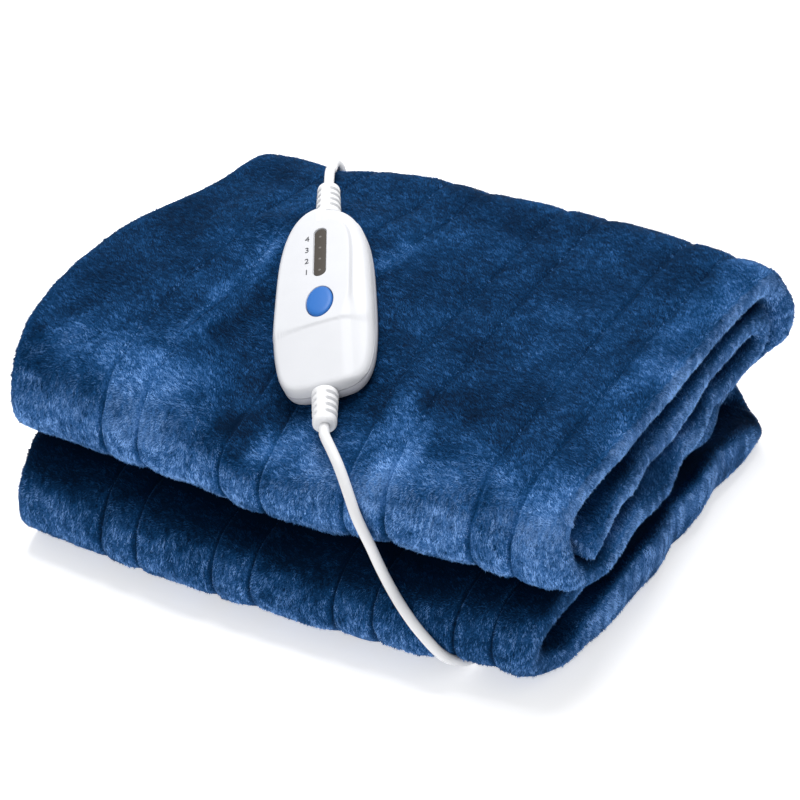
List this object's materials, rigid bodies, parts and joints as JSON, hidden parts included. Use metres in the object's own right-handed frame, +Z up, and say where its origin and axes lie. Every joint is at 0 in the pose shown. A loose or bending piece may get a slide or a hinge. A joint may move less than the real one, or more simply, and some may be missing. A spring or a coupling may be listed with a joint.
{
  "type": "electric heated blanket",
  "caption": "Electric heated throw of navy plush, folded into two stacked bundles, with its white hand controller on top and its lead.",
  "frame": {"origin": "on the surface it rests on, under the middle of the box round the folded blanket and its hand controller", "axes": "+X to the right along the front folds, +Y from the front folds to the back, +Z up"},
  "size_m": [0.3933, 0.4874, 0.188],
  "materials": {
    "plush": "brushed velvet pile",
    "shell": "satin white",
    "button": "satin blue",
    "window": "smoked",
    "lead": "soft white",
    "tie": "matt black",
    "blade": "bright plated"
  },
  "bodies": {
    "base": {"blanket": "plush", "shell_bottom": "shell", "shell_top": "shell", "display_window": "window", "relief_lower": "lead", "relief_upper": "lead", "lead_front": "lead", "lead_rear": "lead", "lead_coil": "lead", "lead_tail": "lead", "coil_tie": "tie", "plug_body": "lead", "plug_blade_left": "blade", "plug_blade_right": "blade"},
    "button": {"button": "button"}
  },
  "joints": [
    {"name": "button_press", "type": "slide", "parent": "base", "child": "button", "axis": [0.1918, 0.3383, -0.9213], "range_m": [0, 0.001], "stiffness_N_per_m": 1200}
  ]
}
